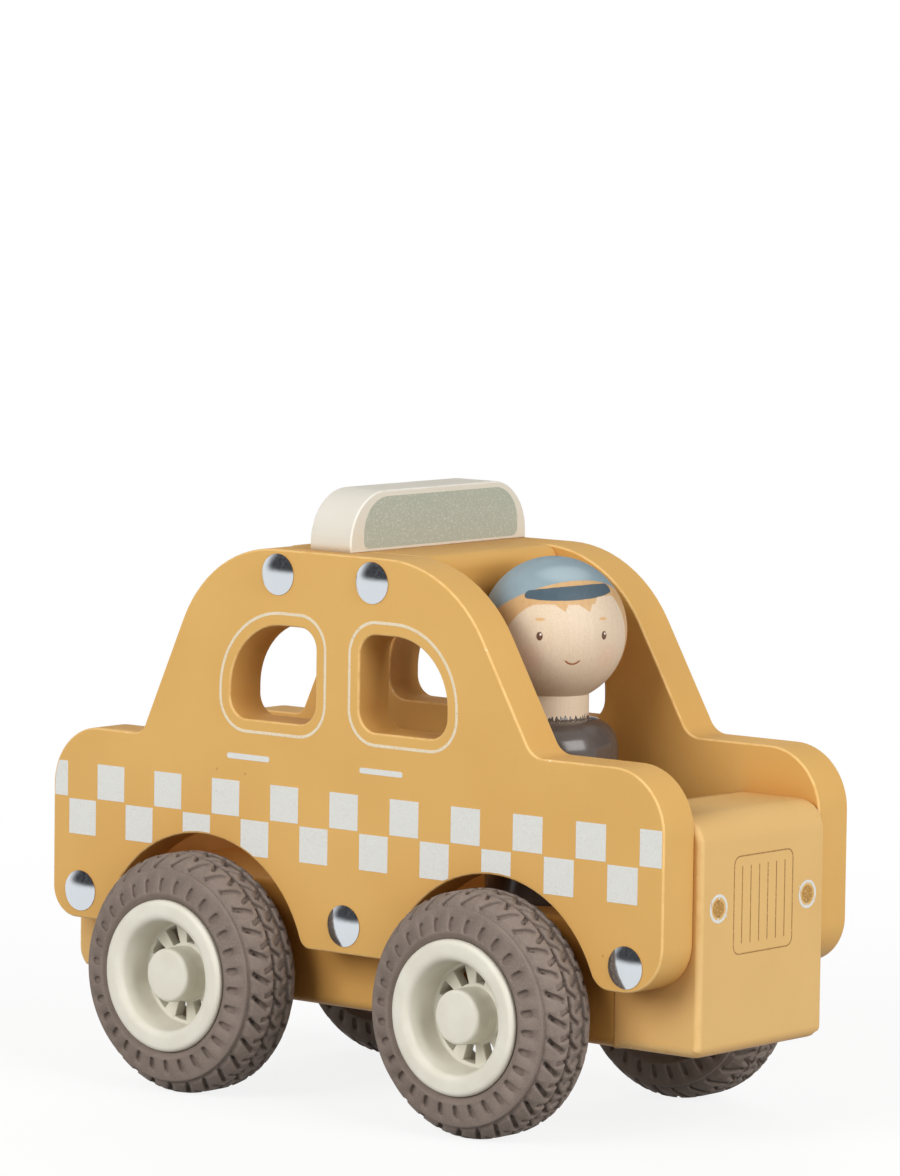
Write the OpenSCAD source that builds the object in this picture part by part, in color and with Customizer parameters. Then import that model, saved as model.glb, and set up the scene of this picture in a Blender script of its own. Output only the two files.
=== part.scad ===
// Wooden toy taxi with a peg-figure driver, in millimetres.
// +X is forward, +Y is the toy's left, +Z is up, and the floor is at z = 0.

/* [Body] */
// Length from the rear face of the boot block to the front face of the bonnet block
body_length = 169.7; // [155:0.1:190]
// Width of the blocks between the side panels
block_width = 41.8; // [36:0.2:60]
// Distance from the axle line down to the underside of the blocks
underside_drop = 6; // [4:0.1:9]

/* [Blocks] */
// Height of the base block
base_height = 25.6; // [20:0.1:34]
// Length of the boot block
boot_block_length = 17.6; // [12:0.2:24]
// Height of the boot block
boot_block_height = 46; // [38:0.1:52]
// Length of the bonnet block
bonnet_block_length = 21.8; // [15:0.2:26]
// Height of the bonnet block
bonnet_block_height = 49; // [40:0.1:56]
// Radius of the bonnet block's upper front edge
bonnet_nose_radius = 6; // [2:0.5:10]
// Radius of the boot block's lower rear edge
boot_tail_radius = 5.5; // [2:0.5:8]
// Radius of the long lower edges of the blocks
block_lower_radius = 2.4; // [0.6:0.2:4]
// Radius of the other long edges of the blocks
block_edge_radius = 1.4; // [0.4:0.2:3]

/* [Side panels] */
// Thickness of a side panel
panel_thickness = 10; // [6:0.5:12]
// Height of the panel's lower edge above the underside of the blocks
panel_lift = 13.6; // [8:0.1:18]
// Height of the boot above the panel's lower edge
panel_boot_height = 41.4; // [36:0.2:48]
// Height of the bonnet above the panel's lower edge
panel_bonnet_height = 45.4; // [38:0.2:50]
// Height of the roof above the panel's lower edge
panel_roof_height = 83.1; // [76:0.2:95]
// How far the panel's rear edge stops short of the boot block's rear face
panel_rear_inset = 1.9; // [0:0.1:3]
// How far the panel's front edge stops short of the bonnet block's front face
panel_front_inset = 1.8; // [0:0.1:4]
// Foot of the rear pillar, from the rear face
rear_pillar_from_rear = 27.2; // [20:0.2:32]
// Lean of the rear pillar from upright, in degrees
rear_pillar_lean = 24.4; // [15:0.2:28]
// Foot of the windscreen pillar, from the rear face
screen_pillar_from_rear = 133.8; // [129:0.2:139]
// Lean of the windscreen pillar from upright, in degrees
screen_pillar_lean = 30.2; // [20:0.2:34]
// Radius of the lower rear corner
lower_rear_radius = 6.5; // [2:0.5:8]
// Radius of the lower front corner
lower_front_radius = 10; // [2:0.5:11]
// Radius of the boot's and the bonnet's upper corners
shoulder_radius = 13; // [6:0.5:15]
// Radius where the roof runs into the rear pillar
rear_roof_radius = 28; // [12:1:30]
// Radius where the roof runs into the windscreen pillar
screen_roof_radius = 30; // [12:1:32]
// Radius that rounds the lower ends of the wheel arches
arch_end_radius = 3; // [1:0.5:4]
// Radius that rounds the foremost end of the wheel arches
arch_front_end_radius = 5; // [1:0.5:6]
// Radius of the hollow at the foot of the rear pillar
rear_foot_radius = 3; // [1:0.5:6]
// Radius of the hollow at the foot of the windscreen pillar
screen_foot_radius = 5; // [1:0.5:8]

/* [Windows] */
// Middle of the door post between the windows, from the rear face
post_from_rear = 81.75; // [78:0.25:86]
// Width of the door post
post_width = 11.9; // [8:0.1:16]
// Width of a window
window_width = 23.6; // [18:0.2:25]
// Height of the window sill above the panel's lower edge
sill_height = 46.9; // [46:0.1:52]
// Distance from the roof down to the top of a window
window_from_roof = 16; // [13:0.1:18]
// Radius of a window's large upper corner
window_arch_radius = 14; // [6:0.5:15]
// Radius of a window's other corners
window_corner_radius = 4.5; // [2:0.5:6]

/* [Roof] */
// Length of the roof plank
plank_length = 40.4; // [36:0.2:46]
// Thickness of the roof plank
plank_thickness = 10.5; // [8:0.5:14]
// Radius of the plank's upper front and rear edges
plank_edge_radius = 3.5; // [0.5:0.5:5]

/* [Roof sign] */
// Length of the sign across the roof
sign_length = 57.5; // [46:0.5:70]
// Thickness of the sign, fore and aft
sign_thickness = 11.2; // [9:0.1:15]
// Height of the sign
sign_height = 12.6; // [10:0.1:18]
// Radius of the sign's upper corners
sign_corner_radius = 11; // [4:0.5:12]
// Distance from the plank's front edge back to the sign's front face
sign_from_plank_front = 16.4; // [12:0.1:20]
// How far the sign sits to the left of the middle
sign_shift = 1.6; // [-4:0.1:4]
// Diameter of a sign dowel
dowel_diameter = 5; // [3:0.5:6]
// Length of a sign dowel
dowel_length = 12; // [8:0.5:14]
// Distance between the two sign dowels
dowel_spacing = 24; // [16:1:28]

/* [Driver] */
// Place of the driver, from the rear face
driver_from_rear = 114.3; // [112:0.1:117]
// Whole height of the driver
driver_height = 79.1; // [70:0.1:90]
// Radius of the head
head_radius = 15.2; // [12:0.1:16]
// Radius of the neck
neck_radius = 7.5; // [5:0.1:9]
// Radius of the body
driver_radius = 13.7; // [11:0.1:15]
// Height of the body, from the foot to the neck
driver_body_height = 45.6; // [38:0.1:47]
// Radius of the shoulders
driver_shoulder_radius = 6; // [3:0.5:6]
// Depth of the recess in the base block that the driver stands in
seat_depth = 8; // [4:0.5:10]

/* [Wheels] */
// Outer radius of a tyre
tyre_radius = 25.4; // [23:0.1:27]
// Width of a tyre
tyre_width = 18.4; // [15:0.2:20]
// Radius of the rim that the tyre sits on
rim_seat_radius = 14.5; // [13:0.1:16]
// How far the rim's lip rises above the tyre's seat
lip_rise = 1.6; // [0.8:0.1:2]
// Thickness of the rim's lip
lip_thickness = 1.6; // [1.2:0.1:2.4]
// How far the rim's lip stands proud of the tyre
lip_proud = 0.3; // [0.1:0.1:1]
// Width of the lip's flat band, from the bowl out to the tyre's seat
lip_band = 2.8; // [1.5:0.1:3]
// Depth of the rim's bowl, from the lip to the web
bowl_depth = 8; // [6:0.5:9]
// Thickness of the rim's web
web_thickness = 2.6; // [1.5:0.1:4]
// Number of slots in the rim's web
web_slots = 10; // [5:1:10]
// Angle that a slot in the rim's web spans, in degrees
web_slot_angle = 18; // [10:1:26]
// Radius of the rim's hub and of the hub cap
hub_radius = 5.7; // [5:0.1:6.2]
// Height of the hub cap
cap_height = 3.5; // [2.5:0.1:4.5]
// How far the hub cap lies below the rim's lip
cap_below_lip = 1.6; // [0.5:0.1:3]
// Diameter of an axle
axle_diameter = 5; // [3:0.5:6]
// Distance from the rear face to the rear axle
rear_axle_from_rear = 44.7; // [42:0.1:46]
// Distance from the front face back to the front axle
front_axle_from_front = 46; // [45:0.1:49]
// Number of lugs around each shoulder of a tyre
tread_lugs = 30; // [16:2:36]
// Width of the slots between the lugs
tread_slot_width = 1.5; // [0.8:0.1:2]
// Depth of the slots between the lugs
tread_slot_depth = 1.3; // [0.5:0.1:1.8]
// Slant of the slots between the lugs, in degrees
tread_slot_slant = 28; // [0:1:40]

/* [Rivets] */
// Diameter of a rivet's domed head
rivet_head_diameter = 8.7; // [7:0.1:11]
// Height of a rivet's domed head
rivet_head_height = 1.2; // [0.8:0.1:3.5]
// Diameter of a rivet's shank
rivet_shank_diameter = 3.2; // [2:0.1:4]
// How far a rivet's shank goes into a block
rivet_grip = 12; // [8:0.5:14]
// Distance of the upper rivets from the plank's ends
rivet_from_plank_end = 7.35; // [6:0.05:10]
// Height of the lower rear and middle rivets above the panel's lower edge
rivet_lift = 5.9; // [5:0.1:8]
// Height of the lower front rivet above the panel's lower edge
front_rivet_lift = 5.2; // [5:0.1:8]
// Place of the lower rear rivet, from the rear face
rear_rivet_from_rear = 9.9; // [8:0.1:11]
// Place of the lower middle rivet, ahead of the middle between the axles
middle_rivet_ahead = 0.1; // [-2:0.1:2]
// Place of the lower front rivet, back from the front face
front_rivet_from_front = 11.1; // [10:0.1:14]

/* [Clearances] */
// Radial gap between an axle and its bore in the base block
axle_running_gap = 0.08; // [0.02:0.01:0.1]
// Radial gap of the glued and pressed fits
fixed_gap = 0.02; // [0.01:0.01:0.05]
// Gap between a rim's hub and the side of the base block
hub_end_gap = 0.5; // [0.3:0.1:1]
// Gap between a tyre and the side of the base block
tyre_side_gap = 3.8; // [2:0.1:5]
// Gap between a rear tyre and its wheel arch
rear_arch_gap = 3.6; // [2:0.1:5]
// Gap between a front tyre and its wheel arch
front_arch_gap = 2.7; // [2:0.1:5]
// Gap around the driver's body in its recess
seat_gap = 0.4; // [0.3:0.1:1]
// Gap between the driver and the front edge of the roof plank
head_gap = 0.8; // [0.5:0.1:3]

/* [Hidden] */
$fn = 96;

// Turning angle of one straight step of a rounded corner
arc_step = 5;
// Overlap that makes a cut run clear through
over = 1;
// Wall of a hub cap over the axle's end, and the rounding of its rim
cap_wall = 1.2;
cap_edge = 0.9;
// Draft of the rim's bowl, from the lip to the web
bowl_draft = 0.8;
// How far the rim's barrel stops short of the tyre's inner side
barrel_short = 0.7;
// Wall of the rim's barrel
barrel_wall = 1.8;
// Wall left around a slot in the rim's web
slot_margin = 0.7;
// Rounding of the rim's lip
lip_round = 0.75;
// Step from a tyre's side down to its bead
bead_step = 1.3;
// Rounding of a tyre's bead, of its side wall and of its shoulder
bead_round = 0.8;
wall_round = 0.4;
shoulder_round = 3;
// Height of a tyre's tread above its side wall, and the ring groove between them
tread_height = 3.1;
ring_groove = 0.9;
// How far a tyre's side wall falls back from its bead out to its edge
wall_drop = 1.7;
// Width of a tyre's side, from its widest place in to the flat of the tread
shoulder_width = 5.2;
// Length of the slots between the lugs
tread_slot_length = 14;
// Rounding of the driver's foot
foot_round = 1;

// Places along the toy
rear_x = -body_length / 2;
front_x = body_length / 2;
base_rear_x = rear_x + boot_block_length;
base_front_x = front_x - bonnet_block_length;
rear_axle_x = rear_x + rear_axle_from_rear;
front_axle_x = front_x - front_axle_from_front;
driver_x = rear_x + driver_from_rear;
plank_front_x = driver_x - max(head_radius, driver_radius) - head_gap;
plank_rear_x = plank_front_x - plank_length;
sign_front_x = plank_front_x - sign_from_plank_front;
post_x = rear_x + post_from_rear;

// Heights above the floor
axle_z = tyre_radius;
underside_z = axle_z - underside_drop;
base_top_z = underside_z + base_height;
panel_z = underside_z + panel_lift;
boot_z = panel_z + panel_boot_height;
bonnet_z = panel_z + panel_bonnet_height;
roof_z = panel_z + panel_roof_height;
plank_z = roof_z - plank_thickness;
upper_rivet_z = roof_z - plank_thickness / 2;
lower_rivet_z = panel_z + rivet_lift;
seat_z = base_top_z - seat_depth;
rear_arch_radius = tyre_radius + rear_arch_gap;
front_arch_radius = tyre_radius + front_arch_gap;

// Places across the toy, from its middle
panel_in_y = block_width / 2;
panel_out_y = panel_in_y + panel_thickness;
tyre_in_y = panel_in_y + tyre_side_gap;
tyre_out_y = tyre_in_y + tyre_width;
lip_out_y = tyre_out_y + lip_proud;
lip_in_y = lip_out_y - lip_thickness;
web_out_y = lip_out_y - bowl_depth;
web_in_y = web_out_y - web_thickness;
hub_in_y = panel_in_y + hub_end_gap;
cap_out_y = lip_out_y - cap_below_lip;
cap_in_y = cap_out_y - cap_height;
axle_half_length = cap_out_y - cap_wall - fixed_gap;

// Places of the rivets, as [x, z]
rivet_places = [
    [plank_rear_x + rivet_from_plank_end, upper_rivet_z],
    [plank_front_x - rivet_from_plank_end, upper_rivet_z],
    [rear_x + rear_rivet_from_rear, lower_rivet_z],
    [(rear_axle_x + front_axle_x) / 2 + middle_rivet_ahead, lower_rivet_z],
    [front_x - front_rivet_from_front, panel_z + front_rivet_lift]];

// Colours of the finishes
mustard = [0.86, 0.68, 0.40];
cream = [0.92, 0.91, 0.87];
tyre_brown = [0.45, 0.40, 0.37];
bare_wood = [0.92, 0.82, 0.70];
steel = [0.75, 0.76, 0.78];

function unit(v) = v / norm(v);

// Arc that rounds the corner at, coming from before and going to after; each is [x, y, radius]
function corner_arc(before, at, after) =
    let (
        here = [at.x, at.y],
        back = unit([before.x, before.y] - here),
        ahead = unit([after.x, after.y] - here),
        half = acos(back * ahead) / 2,
        centre = here + unit(back + ahead) * at.z / sin(half),
        first = here + back * at.z / tan(half) - centre,
        sweep = (180 - 2 * half) * sign(cross(ahead, back)),
        steps = ceil(abs(sweep) / arc_step)
    )
    [for (i = [0:steps]) centre + [
        first.x * cos(sweep * i / steps) - first.y * sin(sweep * i / steps),
        first.x * sin(sweep * i / steps) + first.y * cos(sweep * i / steps)]];

// Closed outline through corners given as [x, y, radius]
function rounded(corners) =
    let (count = len(corners))
    [for (i = [0:count - 1])
        each corners[i].z > 0
            ? corner_arc(corners[(i + count - 1) % count], corners[i], corners[(i + 1) % count])
            : [[corners[i].x, corners[i].y]]];

// Points of an arc from one angle to another, without its first point, as corners with no rounding
function arc(centre, radius, from, to) =
    let (steps = ceil(abs(to - from) / arc_step))
    [for (i = [1:steps])
        let (angle = from + (to - from) * i / steps)
        [centre.x + radius * cos(angle), centre.y + radius * sin(angle), 0]];

// Centre of the arc that rounds an end of a wheel arch into the panel's lower edge
function arch_end(x, way, radius, end_radius) =
    let (rise = panel_z + end_radius - axle_z)
    [x + way * sqrt(pow(radius + end_radius, 2) - pow(rise, 2)), panel_z + end_radius];

// Corners of a wheel arch of a radius about an axle, from its rear end over the top to its front end
function wheel_arch(x, radius, rear_radius, front_radius) =
    let (
        axle = [x, axle_z],
        rear_end = arch_end(x, -1, radius, rear_radius),
        front_end = arch_end(x, 1, radius, front_radius),
        rear_angle = atan2(rear_end.y - axle.y, rear_end.x - axle.x),
        front_angle = atan2(front_end.y - axle.y, front_end.x - axle.x)
    )
    concat(
        [[rear_end.x, panel_z, 0]],
        arc(rear_end, rear_radius, -90, rear_angle - 180),
        arc(axle, radius, rear_angle, front_angle),
        arc(front_end, front_radius, front_angle + 180, 270));

// A flat outline in x and z, given thickness along y from y_low to y_high
module across(y_low, y_high) {
    translate([0, y_high, 0])
        rotate([90, 0, 0])
            linear_extrude(y_high - y_low) children();
}

// A flat outline in y and z, given length along x from x_low to x_high
module along(x_low, x_high) {
    translate([x_low, 0, 0])
        rotate([90, 0, 90])
            linear_extrude(x_high - x_low) children();
}

// A block between the panels, with its long edges rounded
module block(x_low, x_high, height, lower_rear_edge, upper_front_edge) {
    low = underside_z;
    high = underside_z + height;
    intersection() {
        across(-panel_in_y, panel_in_y)
            polygon(rounded([[x_low, low, lower_rear_edge], [x_high, low, 0],
                [x_high, high, upper_front_edge], [x_low, high, 0]]));
        along(x_low - over, x_high + over)
            polygon(rounded([[-panel_in_y, low, block_lower_radius], [panel_in_y, low, block_lower_radius],
                [panel_in_y, high, block_edge_radius], [-panel_in_y, high, block_edge_radius]]));
    }
}

// The shanks of all the rivets on one side, with a gap around them
module rivet_shanks(side, gap) {
    for (place = rivet_places)
        translate([place.x, side * panel_out_y, place.y])
            rotate([90 * side, 0, 0])
                cylinder(d = rivet_shank_diameter + 2 * gap, h = panel_thickness + rivet_grip + gap);
}

module rivet_holes() {
    rivet_shanks(-1, fixed_gap);
    rivet_shanks(1, fixed_gap);
}

module axle_bores() {
    for (x = [rear_axle_x, front_axle_x])
        translate([x, 0, axle_z])
            rotate([90, 0, 0])
                cylinder(d = axle_diameter + 2 * axle_running_gap, h = block_width + 2 * over, center = true);
}

module base_block() {
    color(mustard)
        difference() {
            block(base_rear_x, base_front_x, base_height, 0, 0);
            axle_bores();
            rivet_holes();
            translate([driver_x, 0, seat_z])
                cylinder(r = driver_radius + seat_gap, h = seat_depth + over);
        }
}

module boot_block() {
    color(mustard)
        difference() {
            block(rear_x, base_rear_x, boot_block_height, boot_tail_radius, 0);
            rivet_holes();
        }
}

module bonnet_block() {
    color(mustard)
        difference() {
            block(base_front_x, front_x, bonnet_block_height, 0, bonnet_nose_radius);
            rivet_holes();
        }
}

// Window with its inner edge at inner_x; ahead is 1 for the front window and -1 for the rear one
module window(inner_x, ahead) {
    low = panel_z + sill_height;
    high = roof_z - window_from_roof;
    outer_x = inner_x + ahead * window_width;
    arch = min(window_arch_radius, high - low - window_corner_radius);
    polygon(rounded([[inner_x, low, window_corner_radius], [outer_x, low, window_corner_radius],
        [outer_x, high, arch], [inner_x, high, window_corner_radius]]));
}

module side_outline() {
    panel_rear_x = rear_x + panel_rear_inset;
    panel_front_x = front_x - panel_front_inset;
    rear_foot_x = rear_x + rear_pillar_from_rear;
    screen_foot_x = rear_x + screen_pillar_from_rear;
    rear_roof_x = rear_foot_x + (roof_z - boot_z) * tan(rear_pillar_lean);
    screen_roof_x = screen_foot_x - (roof_z - bonnet_z) * tan(screen_pillar_lean);
    difference() {
        polygon(rounded([
            [panel_rear_x, panel_z, lower_rear_radius],
            each wheel_arch(rear_axle_x, rear_arch_radius, arch_end_radius, arch_end_radius),
            each wheel_arch(front_axle_x, front_arch_radius, arch_end_radius, arch_front_end_radius),
            [panel_front_x, panel_z, lower_front_radius],
            [panel_front_x, bonnet_z, shoulder_radius],
            [screen_foot_x, bonnet_z, screen_foot_radius],
            [screen_roof_x, roof_z, screen_roof_radius],
            [rear_roof_x, roof_z, rear_roof_radius],
            [rear_foot_x, boot_z, rear_foot_radius],
            [panel_rear_x, boot_z, shoulder_radius]]));
        window(post_x - post_width / 2, -1);
        window(post_x + post_width / 2, 1);
    }
}

// Panel on one side: -1 is the right, 1 is the left
module side_panel(side) {
    middle_y = side * (panel_in_y + panel_out_y) / 2;
    color(mustard)
        difference() {
            across(middle_y - panel_thickness / 2, middle_y + panel_thickness / 2)
                side_outline();
            rivet_shanks(side, fixed_gap);
        }
}

module right_side_panel() { side_panel(-1); }

module left_side_panel() { side_panel(1); }

// The two sign dowels, with a gap around them
module dowel_pair(gap) {
    for (way = [-1, 1])
        translate([sign_front_x - sign_thickness / 2, sign_shift + way * dowel_spacing / 2,
            roof_z - dowel_length / 2 - gap])
            cylinder(d = dowel_diameter + 2 * gap, h = dowel_length + 2 * gap);
}

module roof_plank() {
    color(mustard)
        difference() {
            across(-panel_in_y, panel_in_y)
                polygon(rounded([[plank_rear_x, plank_z, 0], [plank_front_x, plank_z, 0],
                    [plank_front_x, roof_z, plank_edge_radius], [plank_rear_x, roof_z, plank_edge_radius]]));
            rivet_holes();
            dowel_pair(fixed_gap);
        }
}

module roof_sign() {
    left_y = sign_shift + sign_length / 2;
    right_y = sign_shift - sign_length / 2;
    top_z = roof_z + sign_height;
    color(cream)
        difference() {
            along(sign_front_x - sign_thickness, sign_front_x)
                polygon(rounded([[right_y, roof_z, 0], [left_y, roof_z, 0],
                    [left_y, top_z, sign_corner_radius], [right_y, top_z, sign_corner_radius]]));
            dowel_pair(fixed_gap);
        }
}

module sign_dowels() {
    color(bare_wood)
        dowel_pair(0);
}

// Five rivets on one side: a domed head on the panel and a shank through it into the wood behind
module rivets(side) {
    head_radius = rivet_head_diameter / 2;
    dome_radius = (pow(head_radius, 2) + pow(rivet_head_height, 2)) / (2 * rivet_head_height);
    color(steel) {
        for (place = rivet_places)
            translate([place.x, side * panel_out_y, place.y])
                rotate([-90 * side, 0, 0]) {
                    intersection() {
                        translate([0, 0, rivet_head_height - dome_radius])
                            sphere(dome_radius);
                        cylinder(d = rivet_head_diameter + over, h = rivet_head_height + over);
                    }
                    translate([0, 0, -panel_thickness - rivet_grip])
                        cylinder(d = rivet_shank_diameter, h = panel_thickness + rivet_grip);
                }
    }
}

module right_rivets() { rivets(-1); }

module left_rivets() { rivets(1); }

// Turned driver: a peg body with round shoulders, a neck and a ball head
module driver() {
    head_z = seat_z + driver_height - head_radius;
    body_top_z = seat_z + driver_body_height;
    chin = asin(neck_radius / head_radius);
    outline = concat(
        [[0, seat_z]],
        corner_arc([0, seat_z, 0], [driver_radius, seat_z, foot_round], [driver_radius, body_top_z, 0]),
        corner_arc([driver_radius, seat_z, 0], [driver_radius, body_top_z, driver_shoulder_radius],
            [neck_radius, body_top_z, 0]),
        [[neck_radius, body_top_z]],
        [for (angle = [chin:arc_step:180 - arc_step / 2])
            [head_radius * sin(angle), head_z - head_radius * cos(angle)]],
        [[0, head_z + head_radius]]);
    color(bare_wood)
        translate([driver_x, 0, 0])
            rotate_extrude()
                polygon(outline);
}

module axle(x) {
    color(steel)
        translate([x, 0, axle_z])
            rotate([90, 0, 0])
                cylinder(d = axle_diameter, h = 2 * axle_half_length, center = true);
}

module front_axle() { axle(front_axle_x); }

module rear_axle() { axle(rear_axle_x); }

// Puts a wheel piece, drawn outwards along z from the toy's middle, on one end of an axle
module on_axle(x, side) {
    translate([x, 0, axle_z])
        rotate([-90 * side, 0, 0])
            children();
}

module rim(x, side) {
    bore = axle_diameter / 2 + fixed_gap;
    lip_radius = rim_seat_radius + lip_rise;
    bowl_radius = rim_seat_radius - lip_band;
    floor_radius = bowl_radius - bowl_draft;
    barrel_in_y = tyre_in_y + barrel_short;
    hollow_radius = rim_seat_radius - barrel_wall;
    slot_inner = hub_radius + slot_margin;
    slot_outer = floor_radius - slot_margin;
    color(cream)
        on_axle(x, side)
            difference() {
                rotate_extrude()
                    polygon(rounded([
                        [bore, hub_in_y, 0], [hub_radius, hub_in_y, 0],
                        [hub_radius, web_in_y, 0], [hollow_radius, web_in_y, 0],
                        [hollow_radius, barrel_in_y, 0], [rim_seat_radius, barrel_in_y, 0],
                        [rim_seat_radius, lip_in_y, 0], [lip_radius, lip_in_y, 0],
                        [lip_radius, lip_out_y, lip_round], [bowl_radius, lip_out_y, lip_round],
                        [floor_radius, web_out_y, 0], [hub_radius, web_out_y, 0],
                        [hub_radius, cap_in_y, 0], [bore, cap_in_y, 0]]));
                for (i = [0:web_slots - 1])
                    rotate([0, 0, i * 360 / web_slots])
                        rotate_extrude(angle = web_slot_angle)
                            translate([slot_inner, web_in_y - over])
                                square([slot_outer - slot_inner, web_thickness + 2 * over]);
            }
}

module front_right_rim() { rim(front_axle_x, -1); }

module front_left_rim() { rim(front_axle_x, 1); }

module rear_right_rim() { rim(rear_axle_x, -1); }

module rear_left_rim() { rim(rear_axle_x, 1); }

module tyre(x, side) {
    bead_radius = rim_seat_radius + fixed_gap;
    lip_radius = rim_seat_radius + lip_rise;
    wall_radius = tyre_radius - tread_height;
    tread_radius = wall_radius + ring_groove;
    groove_y = wall_drop + ring_groove;
    inner_bead_y = tyre_in_y + bead_step;
    outer_bead_y = lip_in_y - fixed_gap;
    middle_y = (tyre_in_y + tyre_out_y) / 2;
    color(tyre_brown)
        on_axle(x, side)
            difference() {
                rotate_extrude()
                    polygon(rounded([
                        [bead_radius, inner_bead_y, 0], [lip_radius, inner_bead_y, 0],
                        [lip_radius + bead_step, tyre_in_y, bead_round],
                        [wall_radius, tyre_in_y + wall_drop, wall_round],
                        [wall_radius, tyre_in_y + groove_y, 0],
                        [tread_radius, tyre_in_y + groove_y, 0],
                        [tyre_radius, tyre_in_y + shoulder_width, shoulder_round],
                        [tyre_radius, tyre_out_y - shoulder_width, shoulder_round],
                        [tread_radius, tyre_out_y - groove_y, 0],
                        [wall_radius, tyre_out_y - groove_y, 0],
                        [wall_radius, tyre_out_y - wall_drop, wall_round],
                        [lip_radius + bead_step, tyre_out_y, bead_round],
                        [lip_radius, outer_bead_y, 0], [bead_radius, outer_bead_y, 0]]));
                for (i = [0:tread_lugs - 1], way = [-1, 1])
                    rotate([0, 0, (i + (way + 1) / 4) * 360 / tread_lugs])
                        translate([tyre_radius, 0, middle_y + way * tyre_width / 2])
                            rotate([way * tread_slot_slant, 0, 0])
                                cube([2 * tread_slot_depth, tread_slot_width, tread_slot_length],
                                    center = true);
            }
}

module front_right_tyre() { tyre(front_axle_x, -1); }

module front_left_tyre() { tyre(front_axle_x, 1); }

module rear_right_tyre() { tyre(rear_axle_x, -1); }

module rear_left_tyre() { tyre(rear_axle_x, 1); }

module hub_cap(x, side) {
    bore = axle_diameter / 2 + fixed_gap;
    color(cream)
        on_axle(x, side)
            rotate_extrude()
                polygon(rounded([
                    [bore, cap_in_y, 0], [hub_radius, cap_in_y, 0],
                    [hub_radius, cap_out_y, cap_edge], [0, cap_out_y, 0],
                    [0, cap_out_y - cap_wall, 0], [bore, cap_out_y - cap_wall, 0]]));
}

module front_right_hub_cap() { hub_cap(front_axle_x, -1); }

module front_left_hub_cap() { hub_cap(front_axle_x, 1); }

module rear_right_hub_cap() { hub_cap(rear_axle_x, -1); }

module rear_left_hub_cap() { hub_cap(rear_axle_x, 1); }

base_block();
boot_block();
bonnet_block();
right_side_panel();
left_side_panel();
roof_plank();
roof_sign();
sign_dowels();
right_rivets();
left_rivets();
driver();
front_axle();
rear_axle();
front_right_rim();
front_left_rim();
rear_right_rim();
rear_left_rim();
front_right_tyre();
front_left_tyre();
rear_right_tyre();
rear_left_tyre();
front_right_hub_cap();
front_left_hub_cap();
rear_right_hub_cap();
rear_left_hub_cap();
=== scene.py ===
# A toy taxi of painted wood, with a peg driver and rubber tyres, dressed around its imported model.
# Lengths are in metres, as in the frame: +X is forward, +Y is the toy's left and +Z is up.
import math

import bmesh
import bpy
import numpy as np
from mathutils import Matrix, Vector, geometry


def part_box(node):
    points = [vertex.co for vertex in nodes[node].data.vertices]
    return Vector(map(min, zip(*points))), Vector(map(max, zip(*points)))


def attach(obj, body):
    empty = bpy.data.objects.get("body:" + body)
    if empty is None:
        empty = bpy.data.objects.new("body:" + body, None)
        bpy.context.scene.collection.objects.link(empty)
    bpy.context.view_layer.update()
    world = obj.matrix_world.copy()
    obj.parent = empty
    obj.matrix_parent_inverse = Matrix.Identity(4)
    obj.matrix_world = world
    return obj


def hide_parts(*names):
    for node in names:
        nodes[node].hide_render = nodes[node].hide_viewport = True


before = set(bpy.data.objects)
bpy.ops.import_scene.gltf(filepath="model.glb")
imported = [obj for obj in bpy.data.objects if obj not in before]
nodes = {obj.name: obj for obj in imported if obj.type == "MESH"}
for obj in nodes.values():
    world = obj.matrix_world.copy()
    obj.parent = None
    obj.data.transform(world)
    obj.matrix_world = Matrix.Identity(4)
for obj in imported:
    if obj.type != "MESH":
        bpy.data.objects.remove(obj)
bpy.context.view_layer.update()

# Base block: a planed bar of wood, sprayed with mustard lacquer on every side. The axles turn in
# its two cross holes, and the driver stands in the round recess in its top.
mm = 0.001


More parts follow.
